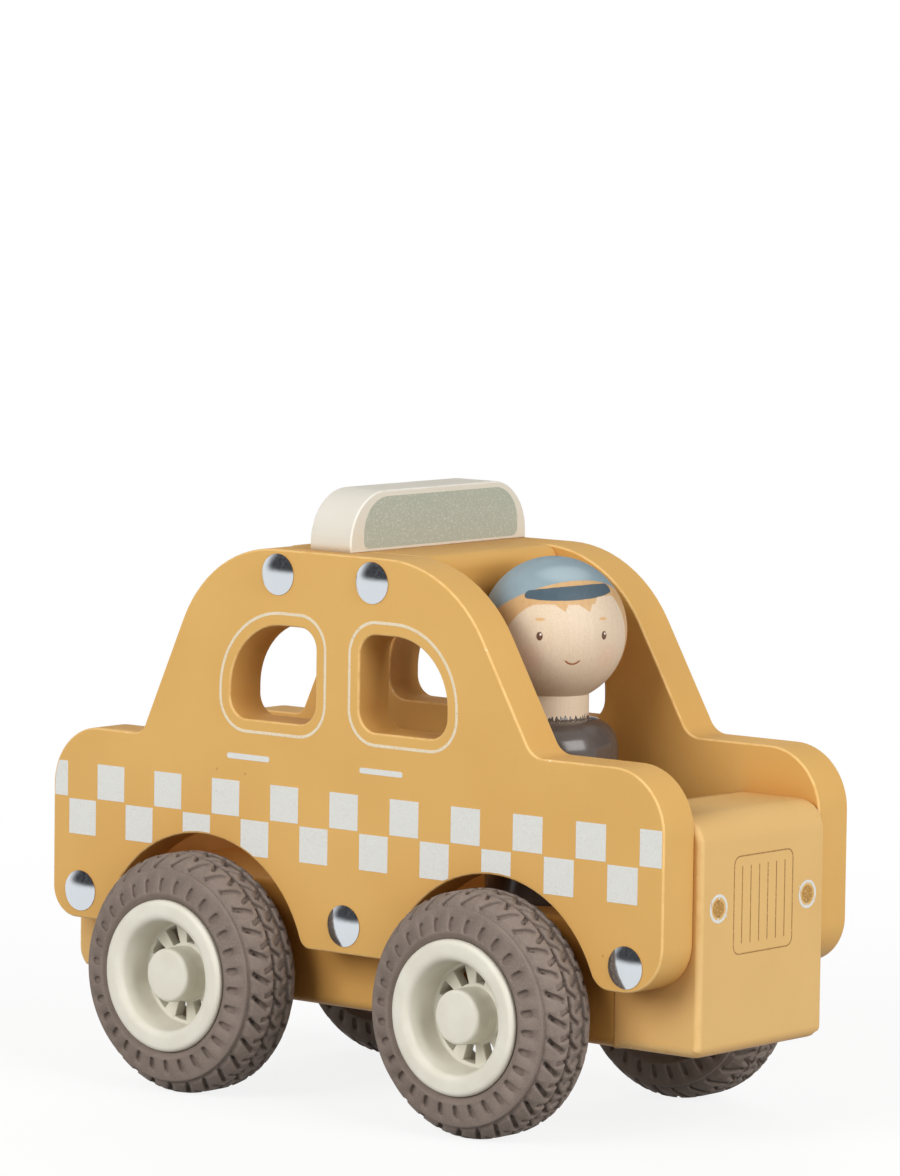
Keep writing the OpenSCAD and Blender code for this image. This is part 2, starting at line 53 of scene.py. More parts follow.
class Wire:
    """A socket among a material's nodes. Arithmetic on wires adds Math nodes."""

    def __init__(self, tree, socket=None):
        self.tree = tree
        self.socket = socket

    def node(self, kind, settings, inputs, output=0):
        """Adds a node: its settings are set first, then the values or links of its sockets."""
        made = self.tree.nodes.new("ShaderNode" + kind)
        for name, value in settings.items():
            setattr(made, name, value)
        for name, value in inputs.items():
            if isinstance(value, Wire):
                self.tree.links.new(value.socket, made.inputs[name])
            else:
                made.inputs[name].default_value = value
        return Wire(self.tree, made.outputs[output])

    def math(self, operation, *values):
        return self.node("Math", {"operation": operation}, dict(enumerate(values)))

    def __add__(self, other):
        return self.math("ADD", self, other)

    __radd__ = __add__

    def __sub__(self, other):
        return self.math("SUBTRACT", self, other)

    def __rsub__(self, other):
        return self.math("SUBTRACT", other, self)

    def __mul__(self, other):
        return self.math("MULTIPLY", self, other)

    __rmul__ = __mul__

    def __truediv__(self, other):
        return self.math("DIVIDE", self, other)

    def __pow__(self, other):
        return self.math("POWER", self, other)

    def __abs__(self):
        return self.math("ABSOLUTE", self)

    def above(self, level, soft):
        """1 where this wire is above a level and 0 below it, with a soft step between."""
        limits = {"Value": self, "From Min": level - soft, "From Max": level + soft}
        return self.node("MapRange", {"interpolation_type": "SMOOTHSTEP"}, limits)

    def mix(self, low, high):
        """A colour between two, by this wire."""
        return self.node("Mix", {"data_type": "RGBA"}, {0: self, 6: low, 7: high}, 2)

    def stretched(self, x, y, z):
        """A place with its axes drawn out, so that a pattern on it is drawn in."""
        return self.node("VectorMath", {"operation": "MULTIPLY"}, {0: self, 1: (x, y, z)})

    def along(self, direction):
        """How far a place lies along a direction."""
        return self.node("VectorMath", {"operation": "DOT_PRODUCT"}, {0: self, 1: direction}, 1)

    def noise(self, grain, detail=2):
        """Cloudy values about 0.5, with clouds of about the size of the grain."""
        return self.node("TexNoise", {}, {"Vector": self, "Scale": 1 / grain, "Detail": detail})

    def spots(self, spacing, share, radius):
        """1 in a few round spots: a share of cells of a spacing has one, of a radius."""
        cells = {"Vector": self, "Scale": 1 / spacing}
        distance = self.node("TexVoronoi", {}, cells)
        luck = self.node("TexVoronoi", {}, cells, "Color").along((1, 0, 0))
        return luck.above(1 - share, 0.001) * (1 - distance.above(radius / spacing, 0.05))

    def bump(self, height):
        """A surface normal that follows this wire, with hills of a height."""
        return self.node("Bump", {}, {"Height": self, "Distance": height})

    def into(self, shader, name):
        self.tree.links.new(self.socket, shader.inputs[name])


def tone(red, green, blue):
    """A colour as it looks on a screen, from 0 to 255, in the renderer's own values."""
    return tuple(((c / 255 + 0.055) / 1.055) ** 2.4 for c in (red, green, blue)) + (1,)


def finish(name):
    """A new material, its shader, and the place on the piece as a wire."""
    material = bpy.data.materials.new(name)
    material.use_nodes = True
    tree = material.node_tree
    shader = tree.nodes["Principled BSDF"]
    return material, shader, Wire(tree).node("TexCoord", {}, {}, "Object")


def lacquer(name, light, dark, worn_and_highlight, painted_shade):
    """Sprayed lacquer: slow drifts in tone, a fine peel, round edges worn pale and brightened as a painted
    highlight, and painted shade in hollows.
    """
    material, shader, place = finish(name)
    drift = place.noise(28 * mm).above(0.5, 0.3)
    peel = place.noise(0.7 * mm, 3)
    specks = place.spots(4 * mm, 0.05, 0.25 * mm)
    edge = place.node("Attribute", {"attribute_name": "edge"}, {}, "Fac")
    # Wear and painted highlight: a pale line along round edges, partly real rubbing and partly the lamps'
    # highlight painted in.
    rubbed_and_highlit = edge.above(0.4, 0.35) * place.noise(2.5 * mm, 4).above(0.4, 0.16)
    chips = edge.above(0.3, 0.2) * place.noise(0.9 * mm, 2).above(0.68, 0.03)
    chips = chips * place.noise(14 * mm).above(0.55, 0.05)
    paint = (0.75 * drift + 0.25 * peel).mix(dark, light)
    # Painted shade: ambient occlusion blends the lacquer towards a deeper tone in window reveals, arches
    # and the cabin.
    shade_in_hollows = 1 - place.node("AmbientOcclusion", {"samples": 8}, {"Distance": 25 * mm}, "AO")
    paint = (0.8 * shade_in_hollows).mix(paint, painted_shade)
    paint = (0.55 * rubbed_and_highlit).mix(paint, worn_and_highlight)
    paint = (0.85 * chips).mix(paint, tone(246, 228, 196))
    (0.5 * specks).mix(paint, tone(150, 108, 58)).into(shader, "Base Color")
    (0.34 + 0.16 * peel + 0.08 * drift).into(shader, "Roughness")
    (peel + 0.5 * place.noise(3 * mm)).bump(0.02 * mm).into(shader, "Normal")
    shader.inputs["Specular IOR Level"].default_value = 0.13
    return material


def paint_node(name, material):
    """Gives a node of the frame its finish."""
    nodes[name].data.materials.clear()
    nodes[name].data.materials.append(material)


# Painted shade: this deep tone is what the lacquer turns to in hollows, where shade falls, not a colour of
# the paint.
mustard_painted_shade = tone(184, 112, 30)
mustard = lacquer("mustard_lacquer", tone(224, 179, 107), tone(216, 170, 99), tone(240, 201, 138),
                  mustard_painted_shade)
paint_node("base_block", mustard)

# Bonnet and boot blocks: short lengths of the same painted bar, set upright at the ends of the base
# block. Their edges are rounded over on a router, the bonnet's upper front edge the most.
lower_radius = 2.4 * mm
edge_radius = 1.4 * mm
joint_radius = 0.5 * mm
joint_run = 2 * mm
nose_radius = 6 * mm
tail_radius = 5.5 * mm
front_foot_radius = 2.6 * mm
rear_top_radius = 1.8 * mm
print_room = 0.05 * mm


def fit(piece, body, slot, *stands_for):
    """Puts a finished piece on a body, in place of nodes of the frame. The slot argument is not used."""
    bpy.context.scene.collection.objects.link(piece)
    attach(piece, body)
    if stands_for:
        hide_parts(*stands_for)
    return piece


def rounded(corners, step=10):
    """A closed outline through corners given as (x, y, radius), drawn with arcs."""
    outline = []
    spots = [Vector(c[:2]) for c in corners]
    for i, (*_, radius) in enumerate(corners):
        back = (spots[i - 1] - spots[i]).normalized()
        ahead = (spots[(i + 1) % len(spots)] - spots[i]).normalized()
        half = back.angle(ahead) / 2
        centre = spots[i] + (back + ahead).normalized() * radius / math.sin(half)
        first = spots[i] + back * radius / math.tan(half) - centre
        sweep = math.copysign(math.pi - 2 * half, -back.cross(ahead))
        steps = max(1, round(math.degrees(abs(sweep)) / step)) if radius else 0
        for k in range(steps + 1):
            outline.append(centre + Matrix.Rotation(sweep * k / max(1, steps), 2) @ first)
    return outline


def outward(outline):
    """The way out at each point of a closed outline, longer at sharp corners."""
    ways = []
    for i, point in enumerate(outline):
        back = (point - outline[i - 1]).normalized()
        ahead = (outline[(i + 1) % len(outline)] - point).normalized()
        side = Vector((back.y + ahead.y, -back.x - ahead.x)).normalized()
        ways.append(side / max(0.3, side.dot(Vector((ahead.y, -ahead.x)))))
    return ways


def within(spot, outlines):
    """Whether a spot lies inside the first outline and in none of the holes."""
    crossings = 0
    for outline in outlines:
        for i, point in enumerate(outline):
            last = outline[i - 1]
            if (point.y > spot.y) != (last.y > spot.y):
                crossings += spot.x < last.x + (point.x - last.x) * (spot.y - last.y) / (point.y - last.y)
    return crossings % 2 == 1


class Boards:
    """Boards cut to flat outlines, gathered into one mesh with smooth round-overs."""

    def __init__(self, axes):
        self.axes = axes
        self.points = []
        self.normals = []
        self.faces = []
        self.edges = []

    def cut(self, outlines, low, high, edge, steps=6):
        """Adds a board between two levels. Holes come after the outer outline, and run the other way.
        edge is the radius of the round-over, or a function that gives it for a point."""
        leans = [math.radians(90 - 90 * i / steps) for i in range(steps + 1)]
        rings = [(lean, high, 1) for lean in leans] + [(lean, low, -1) for lean in reversed(leans)]
        top, bottom = [], []
        for outline in outlines:
            count = len(outline)
            start = len(self.points)
            radii = [edge(point) if callable(edge) else edge for point in outline]
            for lean, face, up in rings:
                for point, way, radius in zip(outline, outward(outline), radii):
                    place = point - way * radius * (1 - math.cos(lean))
                    level = face - up * radius * (1 - math.sin(lean))
                    lift = way.normalized() * math.cos(lean)
                    self.points.append(self.axes @ Vector((place.x, place.y, level)))
                    self.normals.append(self.axes.to_3x3() @ Vector((lift.x, lift.y, up * math.sin(lean))))
                    self.edges.append(math.sin(2 * lean))
            for ring in range(len(rings) - 1):
                for i in range(count):
                    here, after = start + ring * count + i, start + ring * count + (i + 1) % count
                    self.faces.append((here, here + count, after + count, after))
            top.append(list(range(start, start + count)))
            bottom.append([i + count * (len(rings) - 1) for i in top[-1]])
        self.cap(top, 1)
        self.cap(bottom, -1)

    def cap(self, loops, way):
        """Closes a face of a board."""
        back = self.axes.inverted()
        flat = [[(back @ self.points[i]).xy for i in loop] for loop in loops]
        index = [i for loop in loops for i in loop]
        spots = [point for loop in flat for point in loop]
        links = []
        for loop in loops:
            start = len(links)
            links += [(start + k, start + (k + 1) % len(loop)) for k in range(len(loop))]
        corners, _, faces, origins, *_ = geometry.delaunay_2d_cdt(spots, links, [], 0, 1e-9)
        level = (back @ self.points[index[0]]).z
        places = []
        for spot, origin in zip(corners, origins):
            if not origin:
                index.append(len(self.points))
                self.points.append(self.axes @ Vector((spot.x, spot.y, level)))
                self.normals.append(self.axes.to_3x3() @ Vector((0, 0, way)))
                self.edges.append(0)
            places.append(index[origin[0] if origin else -1])
        for face in faces:
            if within(sum((corners[v] for v in face), Vector((0, 0))) / 3, flat):
                a, b, c = (places[v] for v in face)
                self.faces.append((a, b, c) if way > 0 else (a, c, b))

    def piece(self, name, material):
        mesh = bpy.data.meshes.new(name)
        mesh.from_pydata(self.points, [], self.faces)
        mesh.attributes.new("edge", "FLOAT", "POINT").data.foreach_set("value", self.edges)
        mesh.shade_smooth()
        mesh.normals_split_custom_set_from_vertices([n.normalized() for n in self.normals])
        mesh.materials.append(material)
        return bpy.data.objects.new(name, mesh)


def facing(across, up, out):
    """Axes of a flat face: across it, up it and out of it."""
    return Matrix((across, up, out)).transposed().to_4x4()


sides = {
    "right": facing((1, 0, 0), (0, 0, 1), (0, -1, 0)),
    "left": facing((-1, 0, 0), (0, 0, 1), (0, 1, 0)),
}


def block(node, material, corners, edge):
    """A block that reaches across the toy, from the corners of its right side."""
    low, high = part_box(node)
    wood = Boards(sides["right"])
    wood.cut([rounded(corners, 6)], low.y, high.y, edge)
    fit(wood.piece(node + "_wood", material), "body", "painted_wood", node)


# A paler, less yellow copy of the mustard lacquer for the blocks: the paler tone is painted sheen from the
# lamps.
mustard_with_painted_sheen = lacquer("pale_mustard_lacquer", tone(227, 187, 123), tone(219, 178, 115),
                       tone(232, 194, 132), mustard_painted_shade)
for node, way in (("bonnet_block", 1), ("boot_block", -1)):
    low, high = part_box(node)
    if way > 0:
        joint, end, lower_end, upper_end = low.x, high.x - print_room, front_foot_radius, nose_radius
    else:
        joint, end, lower_end, upper_end = high.x, low.x + print_room, tail_radius, rear_top_radius
    corners = [(joint, low.z, 0), (joint + way * joint_run, low.z, 0), (end, low.z, lower_end),
               (end, high.z, upper_end), (joint + way * joint_run, high.z, 0), (joint, high.z, 0)]

    def edge_at(point):
        if abs(point.x - joint) < joint_run / 2:
            return joint_radius
        return lower_radius if point.y < low.z + lower_radius / 2 else edge_radius

    block(node, mustard_with_painted_sheen, corners[::way], edge_at)

# Side panels: two boards sawn to one outline, with two windows and two wheel arches each, their
# edges rounded over, sprayed mustard, and riveted to the blocks and the roof plank.
panel_edge = 0.5 * mm
weld_gap = 0.002 * mm
flatness = 0.01 * mm


def flat_outlines(node, axes, level):
    """Outlines of a node's flat face at a level along the third axis, the longest first."""
    shape = bmesh.new()
    shape.from_mesh(nodes[node].data)
    bmesh.ops.transform(shape, matrix=axes.inverted(), verts=shape.verts)
    bmesh.ops.remove_doubles(shape, verts=shape.verts, dist=weld_gap)
    flat = {f for f in shape.faces if all(abs(v.co.z - level) < flatness for v in f.verts)}
    ahead = {}
    for face in flat:
        for corner in face.loops:
            if not any(f in flat and f is not face for f in corner.edge.link_faces):
                ahead[corner.vert] = corner.link_loop_next.vert
    outlines = []
    while ahead:
        vert, after = ahead.popitem()
        outline = [vert.co.xy]
        while after in ahead:
            outline.append(after.co.xy)
            after = ahead.pop(after)
        outlines.append(outline)
    shape.free()
    return sorted(outlines, key=girth, reverse=True)


def girth(outline):
    return sum((point - outline[i - 1]).length for i, point in enumerate(outline))


def moved(outline, distance):
    """A closed outline moved to its right by a distance, which is outward from what it bounds."""
    return [point + side * distance for point, side in zip(outline, outward(outline))]


panel_low, panel_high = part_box("left_side_panel")
panel_outlines = {}
for side, axes in sides.items():
    node = side + "_side_panel"
    panel_outlines[side] = flat_outlines(node, axes, panel_high.y)[:3]
    panel = Boards(axes)
    panel.cut(panel_outlines[side], panel_low.y, panel_high.y, panel_edge)
    fit(panel.piece(node + "_board", mustard), "body", "painted_wood", node)

# Prints on the panels: a two-row checker band and a bar for each door handle in matt white, and a
# cream line around each window. They are screen printed, and the lacquer shows in their pinholes.
ink_height = 0.04 * mm
ink_depth = 0.2 * mm
ink_edge = 0.01 * mm
check_pitch = 16.347 * mm
check_width = 7.7 * mm
check_height = 7.55 * mm
check_rows = (59.05 * mm, 51.05 * mm)
check_starts = (-86.5 * mm, -78.3 * mm)
window_line_gap = 2.3 * mm
window_line_width = 0.65 * mm
handle_ends = ((-33.3 * mm, -21.5 * mm), (3.3 * mm, 14.9 * mm))
handle_height = 71.8 * mm
handle_width = 1.2 * mm
handle_corner = 0.54 * mm


def ink(name, colour, under, cover):
    """Screen-printed ink: matt and finely grained, with pinholes down to the coat under it."""
    material, shader, place = finish(name)
    grain = place.noise(0.45 * mm, 3)
    pinholes = place.noise(0.4 * mm, 1).above(cover, 0.05)
    shade = tuple(0.93 * c for c in colour[:3]) + (1,)
    body = grain.above(0.5, 0.25).mix(shade, colour)
    (0.7 * pinholes).mix(body, under).into(shader, "Base Color")
    (0.5 + 0.2 * grain).into(shader, "Roughness")
    (grain - pinholes).bump(0.03 * mm).into(shader, "Normal")
    return material


def clipped(outline, low, high):
    """The part of an outline that lies inside a rectangle."""
    for axis in (0, 1):
        for limit, way in ((low[axis], 1), (high[axis], -1)):
            kept = []
            for i, point in enumerate(outline):
                last = outline[i - 1]
                here, before = way * (point[axis] - limit), way * (last[axis] - limit)
                if here * before < 0:
                    kept.append(last.lerp(point, before / (before - here)))
                if here >= 0:
                    kept.append(point)
            outline = kept
    return outline


def bar(x_low, x_high, y_low, y_high, radius):
    """A rectangle with rounded corners."""
    corners = ((x_low, y_low), (x_high, y_low), (x_high, y_high), (x_low, y_high))
    return rounded([(x, y, radius) for x, y in corners])


white_ink = ink("white_print", tone(226, 226, 221), tone(212, 200, 176), 0.7)
cream_ink = ink("cream_print", tone(234, 220, 192), tone(222, 186, 124), 0.66)
levels = (panel_high.y - ink_depth, panel_high.y + ink_height)
for side, axes in sides.items():
    edge_outline, *windows = panel_outlines[side]
    flat = moved(edge_outline, -panel_edge)
    ahead = axes.col[0].x
    prints = Boards(axes)
    for row, start in zip(check_rows, check_starts):
        x = start
        while x < panel_high.x:
            left, right = sorted((ahead * x, ahead * (x + check_width)))
            square = clipped(flat, (left, row), (right, row + check_height))
            prints.cut([square], *levels, ink_edge, 1)
            x += check_pitch
    for ends in handle_ends:
        left, right = sorted(ahead * x for x in ends)
        low, high = handle_height - handle_width / 2, handle_height + handle_width / 2
        prints.cut([bar(left, right, low, high, handle_corner)], *levels, ink_edge, 1)
    fit(prints.piece(side + "_checker_and_handle_print", white_ink), "body", None)
    lines = Boards(axes)
    for window in windows:
        inner = moved(window, -window_line_gap)
        outer = moved(window, -window_line_gap - window_line_width)
        lines.cut([outer[::-1], inner], *levels, ink_edge, 1)
    fit(lines.piece(side + "_window_print", cream_ink), "body", None)

# Prints on the bonnet's front: a grille of fine brown lines between two lamps, each an ochre dot in
# a white ring, screen printed on the lacquer.
grille_half = 9.95 * mm
grille_low, grille_high = 39.5 * mm, 59.7 * mm
grille_corner = 2 * mm
grille_line = 0.26 * mm
grille_line_corner = 0.104 * mm
grille_bars = 6
grille_bar_gap = 2.85 * mm
grille_bar_end = 2.2 * mm
lamp_out = 14.93 * mm
lamp_height = 49.6 * mm
lamp_ring = 2.95 * mm
lamp_ring_width = 0.62 * mm
lamp_dot = 1.8 * mm

front = facing((0, 1, 0), (0, 0, 1), (1, 0, 0))
front_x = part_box("bonnet_block")[1].x - print_room
brown_ink = ink("brown_print", tone(158, 118, 66), tone(216, 172, 106), 0.6)
ochre_ink = ink("ochre_print", tone(176, 130, 60), tone(224, 184, 118), 0.58)


def disc(x, y, radius):
    corners = ((-1, -1), (1, -1), (1, 1), (-1, 1))
    return rounded([(x + radius * a, y + radius * b, radius) for a, b in corners], 9)


grille = Boards(front)
frame_outline = bar(-grille_half, grille_half, grille_low, grille_high, grille_corner)
frame_inside = moved(frame_outline, -grille_line)
levels = (front_x - ink_depth, front_x + ink_height)
grille.cut([frame_outline, frame_inside[::-1]], *levels, ink_edge, 1)
for i in range(grille_bars):
    y = (i - (grille_bars - 1) / 2) * grille_bar_gap
    line = bar(y - grille_line / 2, y + grille_line / 2, grille_low + grille_bar_end,
               grille_high - grille_bar_end, grille_line_corner)
    grille.cut([line], *levels, ink_edge, 1)
fit(grille.piece("grille_print", brown_ink), "body", None)
rings, dots = Boards(front), Boards(front)
for y in (-lamp_out, lamp_out):
    ring = disc(y, lamp_height, lamp_ring)
    rings.cut([ring, moved(ring, -lamp_ring_width)[::-1]], *levels, ink_edge, 1)
    dots.cut([disc(y, lamp_height, lamp_dot)], *levels, ink_edge, 1)
fit(rings.piece("lamp_ring_print", white_ink), "body", None)
fit(dots.piece("lamp_dot_print", ochre_ink), "body", None)

# Roof plank: a board across the top between the panels, painted like them, with its upper front
# and rear edges well rounded. The upper rivets hold it.
plank_radius = 3.5 * mm
plank_end_edge = 0.3 * mm

low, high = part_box("roof_plank")
corners = [(low.x, low.z, edge_radius), (high.x, low.z, edge_radius), (high.x, high.z, plank_radius),
           (low.x, high.z, plank_radius)]
block("roof_plank", mustard, corners, plank_end_edge)

# Roof sign: a block of wood sprayed cream, round at its upper corners, with a sage panel printed on
# its front and back. Two beech dowels hold it to the plank.
sign_edge = 0.4 * mm
panel_gaps = (4.2 * mm, 3 * mm)
panel_top_gap = 1.3 * mm
panel_foot_gap = 0.65 * mm
panel_top_radius = 7.5 * mm
panel_foot_radius = 1.6 * mm

# Its third tone is the pale edge line, partly wear and partly a painted highlight; its last tone is painted
# shade in hollows.
cream = lacquer("cream_lacquer", tone(227, 222, 210), tone(218, 212, 199), tone(240, 236, 227),
                tone(208, 196, 172))
sage_ink = ink("sage_print", tone(174, 178, 163), tone(200, 201, 188), 0.6)
sign_low, sign_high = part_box("roof_sign")
sign = Boards(front)
sign.cut(flat_outlines("roof_sign", front, sign_high.x)[:1], sign_low.x, sign_high.x, sign_edge)
fit(sign.piece("roof_sign_block", cream), "body", "cream_wood", "roof_sign")
back_face = facing((0, -1, 0), (0, 0, 1), (-1, 0, 0))
for name, axes, level in (("front", front, sign_high.x), ("back", back_face, -sign_low.x)):
    ends = sorted(axes.col[0].y * y for y in (sign_low.y, sign_high.y))
    left, right = ends[0] + panel_gaps[0], ends[1] - panel_gaps[1]
    foot, top = sign_low.z + panel_foot_gap, sign_high.z - panel_top_gap
    shape = rounded([(left, foot, panel_foot_radius), (right, foot, panel_foot_radius),
                     (right, top, panel_top_radius), (left, top, panel_top_radius)], 6)
    sage = Boards(axes)
    sage.cut([shape], level - ink_depth, level + ink_height, ink_edge, 1)
    fit(sage.piece("sign_" + name + "_print", sage_ink), "body", None)


def bare_wood(name, light, dark):
    """Turned bare wood: fibres along z, with a few darker pores."""
    material, shader, place = finish(name)
    fibres = place.stretched(1, 1, 0.06).noise(0.5 * mm, 4)
    pores = place.stretched(1, 1, 0.12).noise(0.35 * mm, 1).above(0.68, 0.04)
    wood = fibres.above(0.5, 0.25).mix(dark, light)
    (0.3 * pores).mix(wood, tone(170, 128, 90)).into(shader, "Base Color")
    (0.5 + 0.2 * fibres).into(shader, "Roughness")
    (fibres - 0.5 * pores).bump(0.03 * mm).into(shader, "Normal")
    return material


paint_node("sign_dowels", bare_wood("beech", tone(232, 208, 176), tone(214, 184, 146)))

# Rivets: nickel-plated steel, five a side, each with a low domed head drawn tight on the panel and a
# shank driven through it into the wood behind.
rivet_head = 4.35 * mm
rivet_rise = 1.2 * mm
rivet_shank = 1.6 * mm
rivet_lip = 0.15 * mm
rivet_steps = 48
dome_steps = 12


def turned(shape, profile, axes, steps):
    """Adds a turned form to a mesh: profile is (radius, height) from one end of the axis to the other."""
    rows = []
    for radius, height in profile:
        if radius == 0:
            rows.append([shape.verts.new(axes @ Vector((0, 0, height)))] * steps)
            continue
        angles = [2 * math.pi * k / steps for k in range(steps)]
        rows.append([shape.verts.new(axes @ Vector((radius * math.cos(a), radius * math.sin(a), height)))
                     for a in angles])
    for low, high in zip(rows, rows[1:]):
        for k in range(steps):
            after = (k + 1) % steps
            corners = dict.fromkeys((low[k], low[after], high[after], high[k]))
            if len(corners) > 2:
                shape.faces.new(corners)


def done(shape, name, material, sharp=35):
    """Turns a gathered mesh into a piece, smooth but for its sharp edges."""
    bmesh.ops.recalc_face_normals(shape, faces=shape.faces)
    mesh = bpy.data.meshes.new(name)
    shape.to_mesh(mesh)
    shape.free()
    mesh.shade_smooth()
    mesh.set_sharp_from_angle(angle=math.radians(sharp))
    mesh.materials.append(material)
    return bpy.data.objects.new(name, mesh)


def plated(name, colour, rough):
    """Bright plated metal with faint polishing marks."""
    material, shader, place = finish(name)
    marks = place.stretched(1, 1, 0.2).noise(0.3 * mm, 3)
    tint = tuple(0.92 * c for c in colour[:3]) + (1,)
    marks.mix(tint, colour).into(shader, "Base Color")
    (rough + 0.06 * marks).into(shader, "Roughness")
    place.noise(1.2 * mm).bump(0.012 * mm).into(shader, "Normal")
    shader.inputs["Metallic"].default_value = 1
    return material


nickel = plated("nickel_plate", tone(218, 224, 229), 0.1)
dome_rise = rivet_rise - rivet_lip
dome_radius = (rivet_head ** 2 + dome_rise ** 2) / (2 * dome_rise)
dome_half = math.asin(rivet_head / dome_radius)
dome_angles = [dome_half * k / dome_steps for k in range(dome_steps + 1)]
dome = [(dome_radius * math.sin(a), rivet_rise - dome_radius * (1 - math.cos(a))) for a in dome_angles]
for side, axes in sides.items():
    node = side + "_rivets"
    low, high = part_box(node)
    shank_end = min(abs(low.y), abs(high.y)) - panel_high.y
    shank = [(rivet_head - rivet_lip, 0), (rivet_shank, 0), (rivet_shank, shank_end), (0, shank_end)]
    rivets = bmesh.new()
    holes = flat_outlines(side + "_side_panel", axes, panel_high.y)[3:]
    for hole in holes:
        if girth(hole) > 2 * rivet_shank:
            middle = sum(hole, Vector((0, 0))) / len(hole)
            place = axes @ Matrix.Translation((middle.x, middle.y, panel_high.y))
            turned(rivets, dome + shank, place, rivet_steps)
    fit(done(rivets, node + "_metal", nickel), "body", "rivet_metal", node)

# Driver: a peg turned from one piece of wood, with a ball head. Cap, hair and face are painted by
# hand, the body is dipped in grey gloss, and the neck is left bare.
neck_radius = 7.5 * mm
body_radius = 13.7 * mm
body_height = 45.6 * mm
shoulder_radius = 6 * mm
foot_radius = 1 * mm
neck_fillet = 0.5 * mm
peg_steps = 96
face_turn = math.radians(54.5)
cap_turn = math.radians(14)
cap_lean = 0.678
cap_level = 0.262
visor_middle, visor_half, visor_corner = 4, 39, 3
visor_top_lat, visor_foot_lat = 42, 28.4
fringe_lat, nape_lat = 25, -48
fringe_locks = ((-8, 6, 6), (13.5, 6.5, 6.5))
cheek_lon, cheek_lat, cheek_wide, cheek_high = 35, -17, 11, 9
eye_lon, eye_wide, eye_high = 27, 2.5, 3.4
brow_lat, brow_wide, brow_high = 13, 4, 1.3
smile_lat, smile_radius, smile_half, smile_top = -15, 7.5, 0.75, -19.4

foot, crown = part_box("driver")
driver_x = (foot.x + crown.x) / 2
head_radius = (crown.x - foot.x) / 2
head_z = crown.z - head_radius
neck_z = foot.z + body_height
chin = math.asin(neck_radius / head_radius)


def arc(x, z, radius, first, last, steps):
    """Points of an arc, its angles in degrees from the x axis."""
    angles = [math.radians(first + (last - first) * k / steps) for k in range(steps + 1)]
    return [(x + radius * math.cos(a), z + radius * math.sin(a)) for a in angles]


